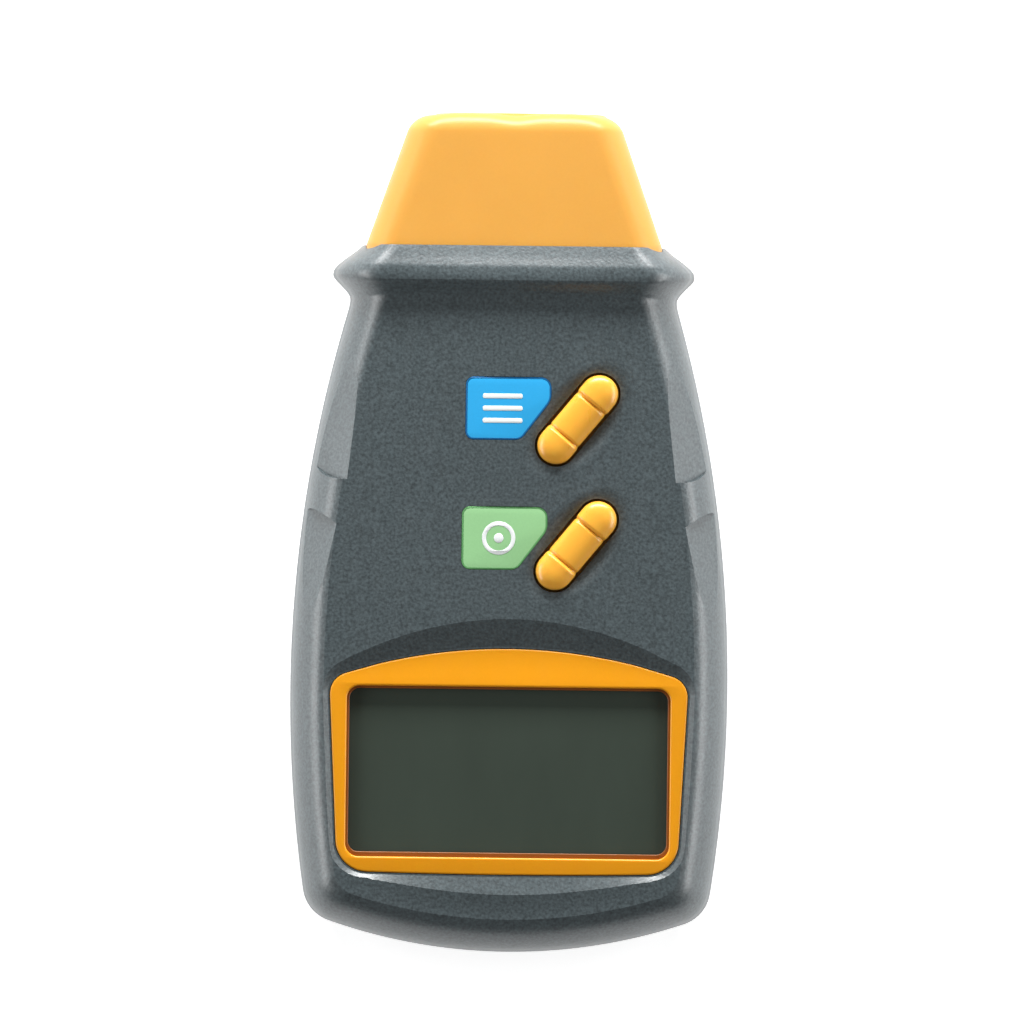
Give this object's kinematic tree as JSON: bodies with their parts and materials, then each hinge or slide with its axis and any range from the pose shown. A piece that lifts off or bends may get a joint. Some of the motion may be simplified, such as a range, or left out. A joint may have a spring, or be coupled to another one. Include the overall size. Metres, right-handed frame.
{
  "type": "laser tachometer",
  "caption": "Handheld optical tachometer lying on its back: bowed two-part housing, tapered optics nose behind a collar, recessed display, capsule keys and a hinged battery door.",
  "frame": {"origin": "middle of the bounding box at its base, on the rear face", "axes": "+Z out of the display, +Y towards the tip of the nose, +X to the right seen from the front"},
  "size_m": [0.0684, 0.131, 0.029],
  "materials": {
    "housing_grey": "fine moulded texture",
    "hood_amber": "satin moulded",
    "bezel_orange": "satin moulded",
    "key_orange": "satin moulded",
    "window_smoke": "clear smoked plastic",
    "lcd_glass": "polished glass",
    "polariser": "film",
    "reflector": "film",
    "black_plastic": "moulded",
    "elastomer": "silicone",
    "board_green": "solder resist",
    "insulating_film": "film",
    "epoxy_black": "cast",
    "steel_can": "plain",
    "capacitor_sleeve": "sleeve",
    "screw_steel": "zinc plated",
    "plunger_white": "moulded",
    "label_blue": "printed film",
    "label_green": "printed film",
    "lens_glass": "polished",
    "red_glass": "polished",
    "brass": "turned",
    "lead_red": "insulation",
    "lead_black": "insulation",
    "battery_wrap": "wrapped steel",
    "contact_nickel": "nickel plated"
  },
  "bodies": {
    "instrument": {"front_housing": "housing_grey", "rear_housing": "housing_grey", "nose_hood": "hood_amber", "display_bezel": "bezel_orange", "display_window": "window_smoke", "lcd_front_polariser": "polariser", "lcd_front_glass": "lcd_glass", "lcd_rear_glass": "lcd_glass", "lcd_reflector": "reflector", "lcd_holder": "black_plastic", "zebra_strips": "elastomer", "main_board": "board_green", "board_film": "insulating_film", "controller_blob": "epoxy_black", "clock_crystal": "steel_can", "supply_capacitors": "capacitor_sleeve", "chip_resistors": "epoxy_black", "board_screws": "screw_steel", "housing_screws": "screw_steel", "memory_switch_base": "black_plastic", "memory_label": "label_blue", "measure_switch_base": "black_plastic", "measure_label": "label_green", "optics_block": "black_plastic", "receiver_lens": "lens_glass", "lens_ring": "black_plastic", "laser_window": "red_glass", "laser_barrel": "brass", "laser_lens": "lens_glass", "laser_diode": "brass", "laser_board": "board_green", "sensor_board": "board_green", "photodiode": "epoxy_black", "sensor_pins": "contact_nickel", "laser_lead_red": "lead_red", "laser_lead_black": "lead_black", "battery_case": "battery_wrap", "battery_terminals": "contact_nickel", "snap_contacts": "contact_nickel", "battery_snap": "black_plastic", "battery_lead_red": "lead_red", "battery_lead_black": "lead_black"},
    "memory_key": {"memory_button": "key_orange", "memory_switch_plunger": "plunger_white"},
    "measure_key": {"measure_button": "key_orange", "measure_switch_plunger": "plunger_white"},
    "door": {"battery_door": "housing_grey"}
  },
  "joints": [
    {"name": "memory_key_press", "type": "slide", "parent": "instrument", "child": "memory_key", "axis": [0, 0, -1], "range_m": [0, 0.0005], "stiffness_N_per_m": 2500, "springref_m": -0.0003},
    {"name": "measure_key_press", "type": "slide", "parent": "instrument", "child": "measure_key", "axis": [0, 0, -1], "range_m": [0, 0.0005], "stiffness_N_per_m": 2500, "springref_m": -0.0003},
    {"name": "battery_door_swing", "type": "hinge", "parent": "instrument", "child": "door", "pos_m": [0, -0.0204, 0], "axis": [1, 0, 0], "range_deg": [0, 65]}
  ]
}
